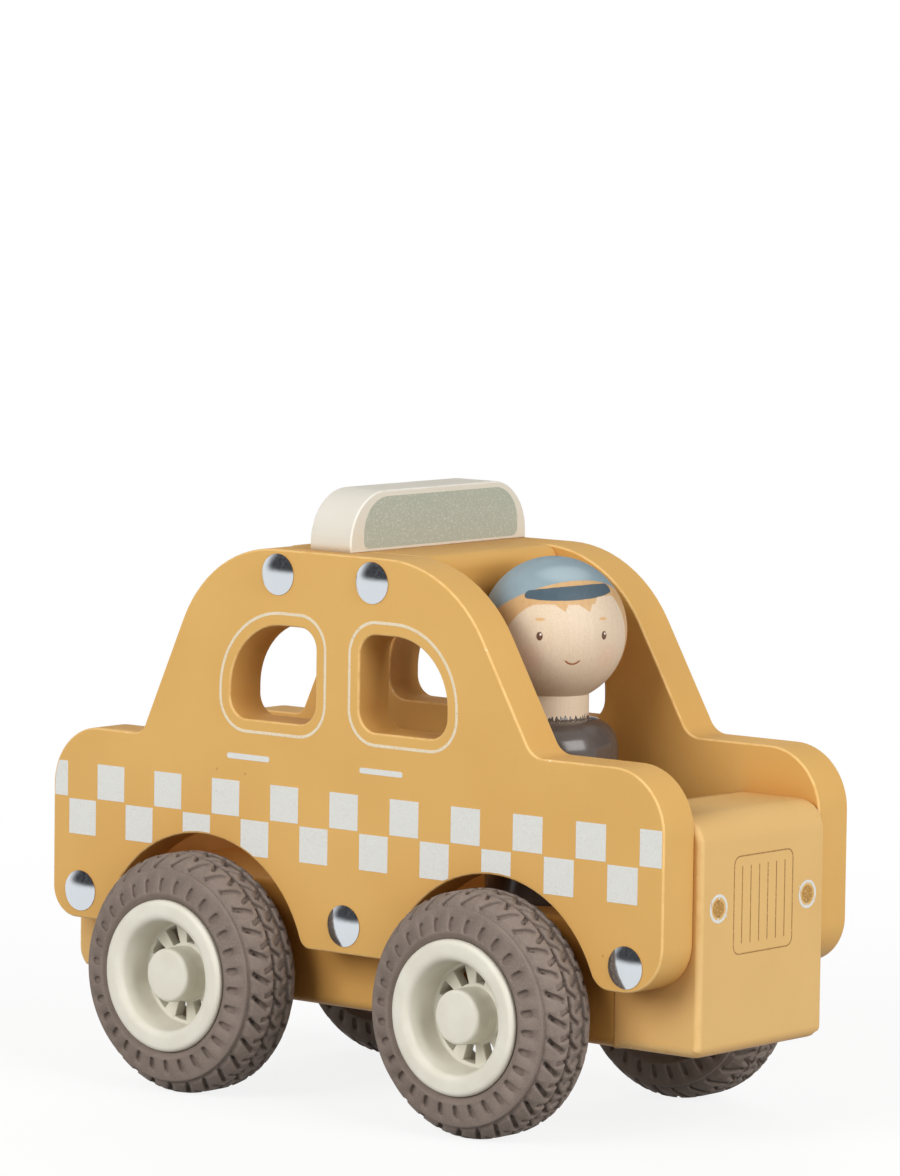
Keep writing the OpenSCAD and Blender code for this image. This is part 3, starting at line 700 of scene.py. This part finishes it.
def painted_peg():
    """The driver's wood and paint, by degrees of longitude and latitude on the head and by height below."""
    material, shader, place = finish("painted_peg")
    fibres = place.stretched(1, 1, 0.05).noise(0.6 * mm, 4)
    stipple = place.noise(0.3 * mm, 2)
    skin = (0.35 * fibres + 0.65 * stipple).above(0.5, 0.2).mix(tone(213, 191, 164), tone(222, 203, 179))
    centre = (driver_x, 0, head_z)
    head = place.node("VectorMath", {"operation": "SUBTRACT"}, {0: place, 1: centre})
    head = head.node("VectorMath", {"operation": "NORMALIZE"}, {0: head})
    ahead = head.along((math.sin(face_turn), -math.cos(face_turn), 0))
    aside = head.along((math.cos(face_turn), math.sin(face_turn), 0))
    up = head.along((0, 0, 1))
    lon = head.math("ARCTAN2", aside, ahead) * math.degrees(1)
    lat = head.math("ARCSINE", up) * math.degrees(1)
    wobble = place.noise(2 * mm) - 0.5

    def spot(x, y, wide, high, soft=0.12):
        return 1 - (((lon - x) / wide) ** 2 + ((lat - y) / high) ** 2).above(1, soft)

    def over_zero(wire):
        return wire.math("MAXIMUM", wire, 0)

    cheek = cheek_lat, cheek_wide, cheek_high, 0.9
    cheeks = spot(-cheek_lon, *cheek) + spot(cheek_lon, *cheek)
    paint = (0.14 * cheeks).mix(skin, tone(226, 156, 132))
    hair_tone = place.stretched(1, 1, 0.3).noise(1.2 * mm, 3).mix(tone(192, 150, 100), tone(212, 174, 126))
    fringe = fringe_lat + 6 * lon.above(24, 3)
    fringe = fringe - 0.027 * over_zero(-28 - lon) ** 2 - 0.16 * over_zero(lon - 46) ** 2
    for x, wide, drop in fringe_locks:
        fringe = fringe - drop * over_zero(1 - abs(lon - x + 0.5 * (lat - 22)) / wide)
    hairline = fringe.math("MAXIMUM", fringe, nape_lat)
    hair = (lat + 2 * wobble - hairline).above(0, 0.8)
    paint = hair.mix(paint, hair_tone)
    for x in (-eye_lon, eye_lon):
        paint = spot(x, brow_lat, brow_wide, brow_high, 0.5).mix(paint, tone(212, 172, 120))
        paint = spot(x, 0, eye_wide, eye_high).mix(paint, tone(98, 66, 46))
        paint = spot(x + 0.8, 1.3, 0.8, 1.0).mix(paint, tone(240, 232, 222))
    from_smile = (lon ** 2 + (lat - smile_lat) ** 2) ** 0.5 - smile_radius
    smile = (1 - abs(from_smile).above(smile_half, 0.2)) * (1 - lat.above(smile_top, 0.3))
    paint = smile.mix(paint, tone(150, 92, 52))
    cap_front = math.cos(cap_turn) * ahead + math.sin(cap_turn) * aside
    cap_tone = place.noise(4 * mm).mix(tone(132, 151, 160), tone(145, 164, 172))
    cap = (up - cap_lean * cap_front + 0.01 * wobble).above(cap_level, 0.006)
    # Painted highlight: a lighter patch on the front of the cap's crown.
    cap_tone = spot(0, 55, 34, 9, 0.9).mix(cap_tone, tone(160, 178, 184))
    paint = cap.mix(paint, cap_tone)
    visor_top = visor_top_lat - 0.0011 * (lon - 30) ** 2
    visor_foot = visor_foot_lat + 0.0014 * (lon + 13) ** 2
    past_end = over_zero(0.81 * abs(lon - visor_middle) - (visor_half - visor_corner))
    from_middle = abs(lat - 0.5 * (visor_top + visor_foot))
    past_edge = over_zero(from_middle - (0.5 * (visor_top - visor_foot) - visor_corner))
    from_visor = (past_end ** 2 + past_edge ** 2) ** 0.5 - visor_corner
    visor = 1 - (from_visor + 0.8 * wobble).above(0.2, 0.25)
    visor_tone = place.noise(1.5 * mm).mix(tone(64, 80, 90), tone(77, 94, 104))
    paint = visor.mix(paint, visor_tone)
    height = place.along((0, 0, 1))
    flecks = stipple.above(0.58, 0.1) * (1 - height.above(neck_z + 3.5 * mm, 1 * mm))
    paint = (0.5 * flecks).mix(paint, tone(204, 168, 124))
    ragged = place.stretched(1, 1, 0.05).noise(0.5 * mm, 2) - 0.5
    dipped = 1 - (height + 3.2 * mm * ragged).above(neck_z + 0.5 * mm, 0.05 * mm)
    grey = place.stretched(1, 1, 0.1).noise(1.5 * mm, 3).mix(tone(82, 73, 67), tone(96, 85, 79))
    dipped.mix(paint, grey).into(shader, "Base Color")
    (0.52 - 0.38 * dipped - 0.12 * cap + 0.1 * fibres).into(shader, "Roughness")
    (fibres * (1 - 0.7 * dipped) * (1 - 0.7 * cap)).bump(0.03 * mm).into(shader, "Normal")
    return material


profile = [(0, foot.z)] + arc(body_radius - foot_radius, foot.z + foot_radius, foot_radius, -90, 0, 5)
profile += arc(body_radius - shoulder_radius, neck_z - shoulder_radius, shoulder_radius, 0, 84, 12)
profile += arc(neck_radius + neck_fillet, neck_z + neck_fillet, neck_fillet, 270, 180, 4)
profile += arc(0, head_z, head_radius, math.degrees(chin) - 90, 88, 44) + [(0, crown.z)]
peg = bmesh.new()
turned(peg, profile, Matrix.Translation((driver_x, 0, 0)), peg_steps)
fit(done(peg, "driver_peg", painted_peg()), "driver", "driver_wood", "driver")

# Axles: two plain rods of drawn steel that turn in the cross holes of the base block. The rims are
# pressed on their ends.
steel = plated("bright_steel", tone(196, 198, 202), 0.22)
for end in ("front", "rear"):
    paint_node(end + "_axle", steel)

# Rims: moulded in cream plastic, each a dished wheel with a rounded lip, ten slots through its web and
# a hub that is pressed on the axle.
rim_steps = 120
seat_radius = 14.5 * mm
lip_radius = 16.1 * mm
lip_round = 1.2 * mm
bowl_round = 1.8 * mm
lip_thickness = 1.6 * mm
bowl_radius = 11.7 * mm
floor_radius = 10.9 * mm
bowl_depth = 8 * mm
web_thickness = 2.6 * mm
hub_radius = 5.7 * mm
bore_radius = 2.52 * mm
slot_inner = 6.4 * mm
slot_outer = 10.2 * mm
web_slots = 10
slot_steps = 6
hollow_radius = 12.7 * mm
barrel_gap = 0.7 * mm
hub_edge = 0.3 * mm
hub_fillet = 0.2 * mm
floor_fillet = 0.5 * mm
slot_edge = 0.25 * mm


def plastic(name, light, dark):
    """Moulded plastic with a satin skin, faintly cloudy."""
    material, shader, place = finish(name)
    clouds = place.noise(6 * mm, 3)
    skin = place.noise(0.25 * mm, 2)
    clouds.above(0.5, 0.3).mix(dark, light).into(shader, "Base Color")
    (0.32 + 0.1 * skin + 0.08 * clouds).into(shader, "Roughness")
    skin.bump(0.006 * mm).into(shader, "Normal")
    return material


def wheel_place(node, side):
    """Where a wheel piece goes: its own z runs out along the axle."""
    low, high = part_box(node)
    return Matrix.Translation(((low.x + high.x) / 2, 0, (low.z + high.z) / 2)) @ sides[side]


rim_low, rim_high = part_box("front_left_rim")
lip_out, hub_in = rim_high.y, rim_low.y
web_out = lip_out - bowl_depth
web_in = web_out - web_thickness
lip_in = lip_out - lip_thickness
cap_low, cap_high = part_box("front_left_hub_cap")
barrel_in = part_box("front_left_tyre")[0].y + barrel_gap
rim_profile = rounded([
    (bore_radius, hub_in, 0), (hub_radius, hub_in, hub_edge), (hub_radius, web_in, 0),
    (slot_inner, web_in, 0), (slot_outer, web_in, 0), (hollow_radius, web_in, 0),
    (hollow_radius, barrel_in, 0), (seat_radius, barrel_in, 0), (seat_radius, lip_in, 0),
    (lip_radius, lip_in, 0), (lip_radius, lip_out, lip_round), (bowl_radius, lip_out, bowl_round),
    (floor_radius, web_out, floor_fillet), (slot_outer, web_out, 0), (slot_inner, web_out, 0),
    (hub_radius, web_out, hub_fillet), (hub_radius, cap_low.y, 0), (bore_radius, cap_low.y, 0)], 15)
cream_plastic = plastic("cream_plastic", tone(230, 226, 212), tone(220, 215, 199))
slot_pitch = rim_steps // web_slots


def slotted_wheel(name):
    """A turned rim with its slots cut through the web."""
    shape = bmesh.new()
    count = len(rim_profile)
    at = {(round(p.x / mm, 2), round(p.y / mm, 2)): i for i, p in enumerate(rim_profile)}
    corner = {(r, z): at[(round(r / mm, 2), round(z / mm, 2))]
              for r in (slot_inner, slot_outer) for z in (web_in, web_out)}
    rows = []
    for k in range(rim_steps):
        turn = 2 * math.pi * k / rim_steps
        x, y = math.cos(turn), math.sin(turn)
        rows.append([shape.verts.new((p.x * x, p.x * y, p.y)) for p in rim_profile])
    spans = {frozenset((corner[slot_inner, z], corner[slot_outer, z])) for z in (web_in, web_out)}
    for k in range(rim_steps):
        here, after = rows[k], rows[(k + 1) % rim_steps]
        in_slot = k % slot_pitch < slot_steps
        for i in range(count):
            j = (i + 1) % count
            if not (in_slot and frozenset((i, j)) in spans):
                shape.faces.new((here[i], here[j], after[j], after[i]))
        if in_slot:
            for radius in (slot_inner, slot_outer):
                low, high = corner[radius, web_in], corner[radius, web_out]
                shape.faces.new((here[low], here[high], after[high], after[low]))
        if k % slot_pitch in (0, slot_steps):
            shape.faces.new([here[corner[slot_inner, web_in]], here[corner[slot_outer, web_in]],
                             here[corner[slot_outer, web_out]], here[corner[slot_inner, web_out]]])
    piece = done(shape, name, cream_plastic, 40)
    rounding = piece.modifiers.new("rounding", "BEVEL")
    rounding.width = slot_edge
    rounding.segments = 2
    rounding.limit_method = "ANGLE"
    rounding.angle_limit = math.radians(50)
    rounding.harden_normals = True
    return piece


wheels = [(end, side) for end in ("front", "rear") for side in ("right", "left")]
for end, side in wheels:
    node = "_".join((end, side, "rim"))
    rim = slotted_wheel(node + "_moulding")
    rim.data.transform(wheel_place(node, side))
    fit(rim, end + "_wheels", "rim_plastic", node)

# Hub caps: shallow caps moulded in the same plastic, one for each wheel. They are pushed over the ends
# of the axles and close the hubs.
cap_edge = 0.9 * mm
cap_wall = 1.2 * mm
cap_steps = 72
cap_profile = rounded([
    (bore_radius, cap_low.y, 0), (hub_radius, cap_low.y, 0), (hub_radius, cap_high.y, cap_edge),
    (0, cap_high.y, 0), (0, cap_high.y - cap_wall, 0), (bore_radius, cap_high.y - cap_wall, 0)], 15)
for end, side in wheels:
    node = "_".join((end, side, "hub_cap"))
    cap = bmesh.new()
    turned(cap, [tuple(p) for p in cap_profile + cap_profile[:1]], wheel_place(node, side), cap_steps)
    bmesh.ops.remove_doubles(cap, verts=cap.verts, dist=0.001 * mm)
    fit(done(cap, node + "_moulding", cream_plastic), end + "_wheels", "rim_plastic", node)

# Tyres: moulded in brown-grey rubber and stretched over the rims. Slanted cuts and two zigzag
# grooves make the tread, and a ring of short slots runs around each side wall.
tread_pitches = 30
tyre_low, tyre_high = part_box("front_left_tyre")
tyre_in, tyre_out = tyre_low.y, tyre_high.y
tyre_radius = (tyre_high.z - tyre_low.z) / 2
bead_radius = seat_radius + 0.02 * mm
bead_step = 1.3 * mm
bead_out = lip_in - 0.02 * mm
wall_radius = tyre_radius - 2.7 * mm
wall_drop = 1.4 * mm
ring_radius = wall_radius - 0.6 * mm
ring_level = tyre_out - wall_drop - 0.9 * mm
tread_edge = wall_radius + 0.7 * mm
shoulder_level = ring_level - 0.5 * mm
tread_level = tyre_out - 5.2 * mm
groove_soft = 0.1 * mm
tread_turn = 6
shoulder_cut = (0, 2.3 * mm), (-4.9, 5.3 * mm), 0.55 * mm, 1.2 * mm
notch = (-8.6, 7 * mm), (-10.9, 4.9 * mm), 0.5 * mm, 1.2 * mm
middle_cut = (-0.8, 7 * mm), (-4.5, 9.2 * mm), 0.5 * mm, 1.2 * mm
long_zig = (-0.8, 7.15 * mm), (-8.6, 6.85 * mm), 0.45 * mm, 1.5 * mm
short_zag = (-8.6, 6.85 * mm), (-12.8, 7.15 * mm), 0.45 * mm, 1.5 * mm
wall_slot_turn = 8.75
wall_slot_inner, wall_slot_outer = 18.7 * mm, 19.7 * mm
wall_slot_half = 0.75 * mm
wall_slot_depth = 0.8 * mm

pitch = 2 * math.pi / tread_pitches
half_section = [
    (bead_radius, bead_out, 0.1 * mm), (lip_radius, bead_out, 0.1 * mm),
    (lip_radius + bead_step, tyre_out, 0.8 * mm), (wall_radius, tyre_out - wall_drop, 0.4 * mm),
    (ring_radius, ring_level, 0.2 * mm), (tread_edge, shoulder_level, 0.3 * mm),
    (tyre_radius, tread_level, 3 * mm)]
middle = (tyre_in + tyre_out) / 2
section = half_section + [(r, 2 * middle - z, c) for r, z, c in reversed(half_section[2:])]
section += [(lip_radius, tyre_in + bead_step, 0.1 * mm), (bead_radius, tyre_in + bead_step, 0.1 * mm)]
section = np.array(rounded(section, 18))
section = np.vstack([section, section[:1]])
steps = np.linalg.norm(np.diff(section, axis=0), axis=1)
section = section[np.append(True, steps > 1e-9)]
along = np.append(0, np.cumsum(np.linalg.norm(np.diff(section, axis=0), axis=1)))
round_tread = np.flatnonzero(section[:, 0] > 0.5 * (wall_radius + tread_edge))
on_wall = np.abs(section[:, 1] - middle) > tyre_out - middle - wall_drop
on_wall &= section[:, 0] > lip_radius + bead_step
wall_faces = [np.flatnonzero(on_wall & (way * (section[:, 1] - middle) > 0)) for way in (1, -1)]


def tread_grooves():
    """Every groove of one pitch: its two ends as (turn, way along the section), half width and depth."""
    grooves = []
    for cut in (shoulder_cut, notch, middle_cut, long_zig, short_zag):
        *ends, half, depth = cut
        for flip, shift in ((False, 0), (True, 180 / tread_pitches)):
            spots = []
            for turn, inward in ends:
                level = tyre_in + inward if flip else tyre_out - inward
                way = np.interp(-level, -section[round_tread, 1], along[round_tread])
                spots.append((math.radians(turn + tread_turn + shift) * tyre_radius, way))
            grooves.append((*spots, half, depth))
    for face in wall_faces:
        rows = face[np.argsort(section[face, 0])]
        spots = []
        for radius in (wall_slot_inner, wall_slot_outer):
            way = np.interp(radius, section[rows, 0], along[rows])
            spots.append((math.radians(wall_slot_turn) * tyre_radius, way))
        grooves.append((*spots, wall_slot_half * tyre_radius / wall_slot_outer, wall_slot_depth))
    return grooves


def shifted_grooves():
    """The grooves, with two neighbours on each side, so that a pitch meets the next one."""
    width = pitch * tyre_radius
    for first, last, half, depth in tread_grooves():
        for k in range(-2, 3):
            shift = Vector((k * width, 0))
            yield Vector(first) + shift, Vector(last) + shift, half, depth


grooves = list(shifted_grooves())


def groove_depth(turns, ways):
    """How deep the rubber is cut at points of the unrolled tyre."""
    depths = np.zeros(len(turns))
    for first, last, half, depth in grooves:
        run = np.array(last - first)
        offset = np.stack([turns - first.x, ways - first.y], axis=1)
        share = np.clip(offset @ run / (run @ run), 0, 1)
        gap = np.linalg.norm(offset - share[:, None] * run, axis=1) - half
        ramp = np.clip((groove_soft - gap) / (2 * groove_soft), 0, 1)
        depths = np.maximum(depths, depth * ramp * ramp * (3 - 2 * ramp))
    return depths


def tyre_points(turns, ways):
    """Points of the cut tyre at places of the unrolled one."""
    slopes = np.gradient(section, along, axis=0)
    out = np.stack([-slopes[:, 1], slopes[:, 0]], axis=1)
    out /= np.linalg.norm(out, axis=1)[:, None]
    depths = groove_depth(turns, ways)
    radius = np.interp(ways, along, section[:, 0]) - depths * np.interp(ways, along, out[:, 0])
    level = np.interp(ways, along, section[:, 1]) - depths * np.interp(ways, along, out[:, 1])
    angles = turns / tyre_radius
    return np.stack([radius * np.cos(angles), radius * np.sin(angles), level], axis=1)


def unrolled_pitch():
    """Corners and triangles of one pitch of the unrolled tyre, with the grooves' edges drawn in."""
    width, girth_way = pitch * tyre_radius, along[-1]
    columns = np.linspace(0, width, 6)
    spots, edges = [], []

    def draw(points, closed):
        start = len(spots)
        spots.extend(Vector(p) for p in points)
        links = range(len(points)) if closed else range(len(points) - 1)
        edges.extend((start + i, start + (i + 1) % len(points)) for i in links)

    for way in along:
        draw([(x, way) for x in columns], False)
    for x in (0, width):
        draw([(x, way) for way in along], False)
    for first, last, half, _ in grooves:
        lean = (last - first).normalized()
        side = Vector((lean.y, -lean.x))
        for soft in (groove_soft, 0, -groove_soft):
            ends = []
            for centre, first_turn in ((last, -90), (first, 90)):
                for k in range(7):
                    a = math.radians(first_turn + 30 * k)
                    ends.append(centre + (lean * math.cos(a) - side * math.sin(a)) * (half + soft))
            if min(p.x for p in ends) < width and max(p.x for p in ends) > 0:
                draw(ends, True)
    corners, _, faces, *_ = geometry.delaunay_2d_cdt(spots, edges, [], 0, 1e-8)
    places = np.array(corners)
    middles = [places[list(f)].mean(axis=0) for f in faces]
    kept = [f for f, (turn, way) in zip(faces, middles) if 0 < turn < width and 0 < way < girth_way]
    used = sorted({i for f in kept for i in f})
    renumber = {old: new for new, old in enumerate(used)}
    return places[used], [[renumber[i] for i in f] for f in kept]


def tyre_mesh():
    """The whole tyre: one pitch, repeated and joined edge to edge."""
    places, faces = unrolled_pitch()
    width, girth_way = pitch * tyre_radius, along[-1]
    count = len(places)
    tiny = 1e-7
    ways = np.tile(places[:, 1], tread_pitches)
    first_column = np.flatnonzero(places[:, 0] < tiny)
    same = np.arange(count * tread_pitches)
    for i in np.flatnonzero(places[:, 0] > width - tiny):
        twin = first_column[np.argmin(np.abs(places[first_column, 1] - places[i, 1]))]
        for k in range(tread_pitches):
            same[k * count + i] = (k + 1) % tread_pitches * count + twin
    first_row = np.flatnonzero(places[:, 1] < tiny)
    for i in np.flatnonzero(places[:, 1] > girth_way - tiny):
        twin = first_row[np.argmin(np.abs(places[first_row, 0] - places[i, 0]))]
        for k in range(tread_pitches):
            same[k * count + i] = k * count + twin
    same = same[same]
    points = tyre_points(np.tile(places[:, 0], tread_pitches), ways)
    step = 0.02 * mm
    ring = tyre_points(places[:, 0] + step, places[:, 1]) - tyre_points(places[:, 0] - step, places[:, 1])
    low, high = np.maximum(places[:, 1] - step, 0), np.minimum(places[:, 1] + step, girth_way)
    rise = tyre_points(places[:, 0], high) - tyre_points(places[:, 0], low)
    normals = np.tile(np.cross(rise, ring), (tread_pitches, 1))
    spin = np.repeat(np.arange(tread_pitches) * pitch, count)
    for values in (points, normals):
        x, y = values[:, 0].copy(), values[:, 1].copy()
        values[:, 0] = x * np.cos(spin) - y * np.sin(spin)
        values[:, 1] = x * np.sin(spin) + y * np.cos(spin)
    all_faces = [[same[k * count + i] for i in reversed(f)] for k in range(tread_pitches) for f in faces]
    all_faces = [f for f in all_faces if len(set(f)) == len(f)]
    used = sorted({i for f in all_faces for i in f})
    renumber = {old: new for new, old in enumerate(used)}
    mesh = bpy.data.meshes.new("tyre")
    mesh.from_pydata(points[used].tolist(), [], [[renumber[i] for i in f] for f in all_faces])
    mesh.shade_smooth()
    lengths = np.linalg.norm(normals[used], axis=1)[:, None]
    mesh.normals_split_custom_set_from_vertices((normals[used] / lengths).tolist())
    return mesh


def rubber(name, light, dark, pale):
    """Soft matt rubber: a cloudy tone with a fine pale bloom."""
    material, shader, place = finish(name)
    clouds = place.noise(5 * mm, 3)
    bloom = place.noise(0.35 * mm, 3)
    body = clouds.above(0.5, 0.25).mix(dark, light)
    (0.5 * bloom.above(0.55, 0.15)).mix(body, pale).into(shader, "Base Color")
    (0.62 + 0.25 * bloom).into(shader, "Roughness")
    (bloom + 0.4 * clouds).bump(0.03 * mm).into(shader, "Normal")
    shader.inputs["Specular IOR Level"].default_value = 0.35
    return material


brown_rubber = rubber("brown_rubber", tone(132, 118, 109), tone(120, 107, 98), tone(143, 130, 120))
tyre = tyre_mesh()
tyre.materials.append(brown_rubber)
for end, side in wheels:
    node = "_".join((end, side, "tyre"))
    rubber_ring = bpy.data.objects.new(node + "_rubber", tyre)
    rubber_ring.matrix_world = wheel_place(node, side)
    fit(rubber_ring, end + "_wheels", "tyre_rubber", node)

# Floor: a wide sheet of pale paper that the toy stands on. It shows white to the camera, and keeps a
# faint shadow near the toy.
shadow_share = 0.14
shadow_reach = 0.3
shadow_fade = 0.15
bounce_grey = (0.35, 0.35, 0.35, 1)
shown_grey = (0.95, 0.95, 0.95, 1)
floor_size = 8

floor_mesh = bmesh.new()
bmesh.ops.create_grid(floor_mesh, x_segments=2, y_segments=2, size=floor_size / 2)
mesh = bpy.data.meshes.new("floor")
floor_mesh.to_mesh(mesh)
floor_mesh.free()
floor = bpy.data.objects.new("floor", mesh)
bpy.context.scene.collection.objects.link(floor)
paper, shader, place = finish("pale_paper")
shader.inputs["Roughness"].default_value = 0.9
shader.inputs["Specular IOR Level"].default_value = 0
glow = place.node("Emission", {}, {"Color": (1, 1, 1, 1), "Strength": 1})


def seen_directly(wire):
    """1 for what the camera, a reflection or a clear piece shows, and 0 for light on its way."""
    kinds = ("Camera", "Glossy", "Transmission")
    camera, glossy, clear = (wire.node("LightPath", {}, {}, "Is " + kind + " Ray") for kind in kinds)
    return wire.math("MINIMUM", camera + glossy + clear, 1)


seen_directly(place).mix(bounce_grey, shown_grey).into(shader, "Base Color")
distance = place.node("VectorMath", {"operation": "LENGTH"}, {0: place}, 1)
plain = (1 - shadow_share) + shadow_share * distance.above(shadow_reach, shadow_fade)
shown = place.node("MixShader", {}, {0: seen_directly(place) * plain})
tree = paper.node_tree
tree.links.new(shader.outputs[0], shown.socket.node.inputs[1])
tree.links.new(glow.socket, shown.socket.node.inputs[2])
tree.links.new(shown.socket, tree.nodes["Material Output"].inputs["Surface"])
floor.data.materials.append(paper)

# Studio light: an even white room, with wide soft lamps before the toy, at its right side and behind
# it. A ring of dark cards along both sides, seen only in reflections, gives the rivets their contrast.
room_level = 0.225
lamp_size = 0.8
lamp_target = Vector((0, 0, 0.06))
card_heights = (0, 64)
card_distance = 1.6
card_rows, card_columns = 16, 96
card_foot, card_top, card_side = 0.11, 0.68, 0.4

world = bpy.data.worlds.new("studio")
bpy.context.scene.world = world
world.use_nodes = True
background = world.node_tree.nodes["Background"]
room = Wire(world.node_tree)
direct = seen_directly(room)
(room_level + (1 - room_level) * direct).into(background, "Strength")
background.inputs["Color"].default_value = (1, 1, 1, 1)


def soft_lamp(name, place, power, glints):
    """A wide lamp turned to the toy. glints says whether reflections show it."""
    lamp = bpy.data.lights.new(name, "AREA")
    lamp.shape = "SQUARE"
    lamp.size = lamp_size
    lamp.energy = power
    made = bpy.data.objects.new(name, lamp)
    made.location = place
    made.rotation_euler = (lamp_target - Vector(place)).to_track_quat("-Z", "Y").to_euler()
    made.visible_glossy = glints
    bpy.context.scene.collection.objects.link(made)


soft_lamp("front_lamp", (1.18, -0.18, 0.55), 12.7, True)
soft_lamp("side_lamp", (-0.16, -1.17, 0.62), 12.2, False)
soft_lamp("back_lamp", (-0.85, 0.95, 0.5), 10, False)

card_mesh = bmesh.new()
turned(card_mesh, arc(0, 0, card_distance, *card_heights, card_rows), Matrix.Identity(4), card_columns)
felt, shader, place = finish("black_felt")
card = done(card_mesh, "dark_card", felt)
bpy.context.scene.collection.objects.link(card)
for ray in ("camera", "diffuse", "transmission", "volume_scatter", "shadow"):
    setattr(card, "visible_" + ray, False)
place.noise(40 * mm, 3).mix((0.01, 0.01, 0.012, 1), (0.06, 0.06, 0.07, 1)).into(shader, "Base Color")
shader.inputs["Roughness"].default_value = 1
shader.inputs["Specular IOR Level"].default_value = 0
rise = place.along((0, 0, 1 / card_distance))
aside = abs(place.along((0, 1 / card_distance, 0)))
cover = rise.above(card_foot, card_foot) * (1 - 0.6 * rise.above(card_top, 0.1))
cover = cover * aside.above(card_side, 0.25)
(cover * (0.55 + 0.8 * place.noise(60 * mm, 4))).into(shader, "Alpha")

# Camera: 1.4 m from the toy, a little above it and to the right of its bonnet, with a long lens that
# is rolled slightly, as in the photograph.
camera_place = Vector((0.87066, -1.05093, 0.23705))
camera_turn = math.radians(39.5969)
camera_dip = math.radians(5.4273)
camera_roll = math.radians(0.7531)
lens = 199.83

back = Vector((math.sin(camera_turn) * math.cos(camera_dip), -math.cos(camera_turn) * math.cos(camera_dip),
               math.sin(camera_dip)))
across = Vector((0, 0, 1)).cross(back).normalized()
upward = back.cross(across)
right = across * math.cos(camera_roll) + upward * math.sin(camera_roll)
top = upward * math.cos(camera_roll) - across * math.sin(camera_roll)
view = bpy.data.cameras.new("camera")
view.lens = lens
view.sensor_width = 36
view.clip_start = 0.01
camera = bpy.data.objects.new("camera", view)
camera.matrix_world = Matrix.Translation(camera_place) @ Matrix((right, top, back)).transposed().to_4x4()
bpy.context.scene.collection.objects.link(camera)
bpy.context.scene.camera = camera
bpy.context.scene.view_settings.view_transform = "Standard"
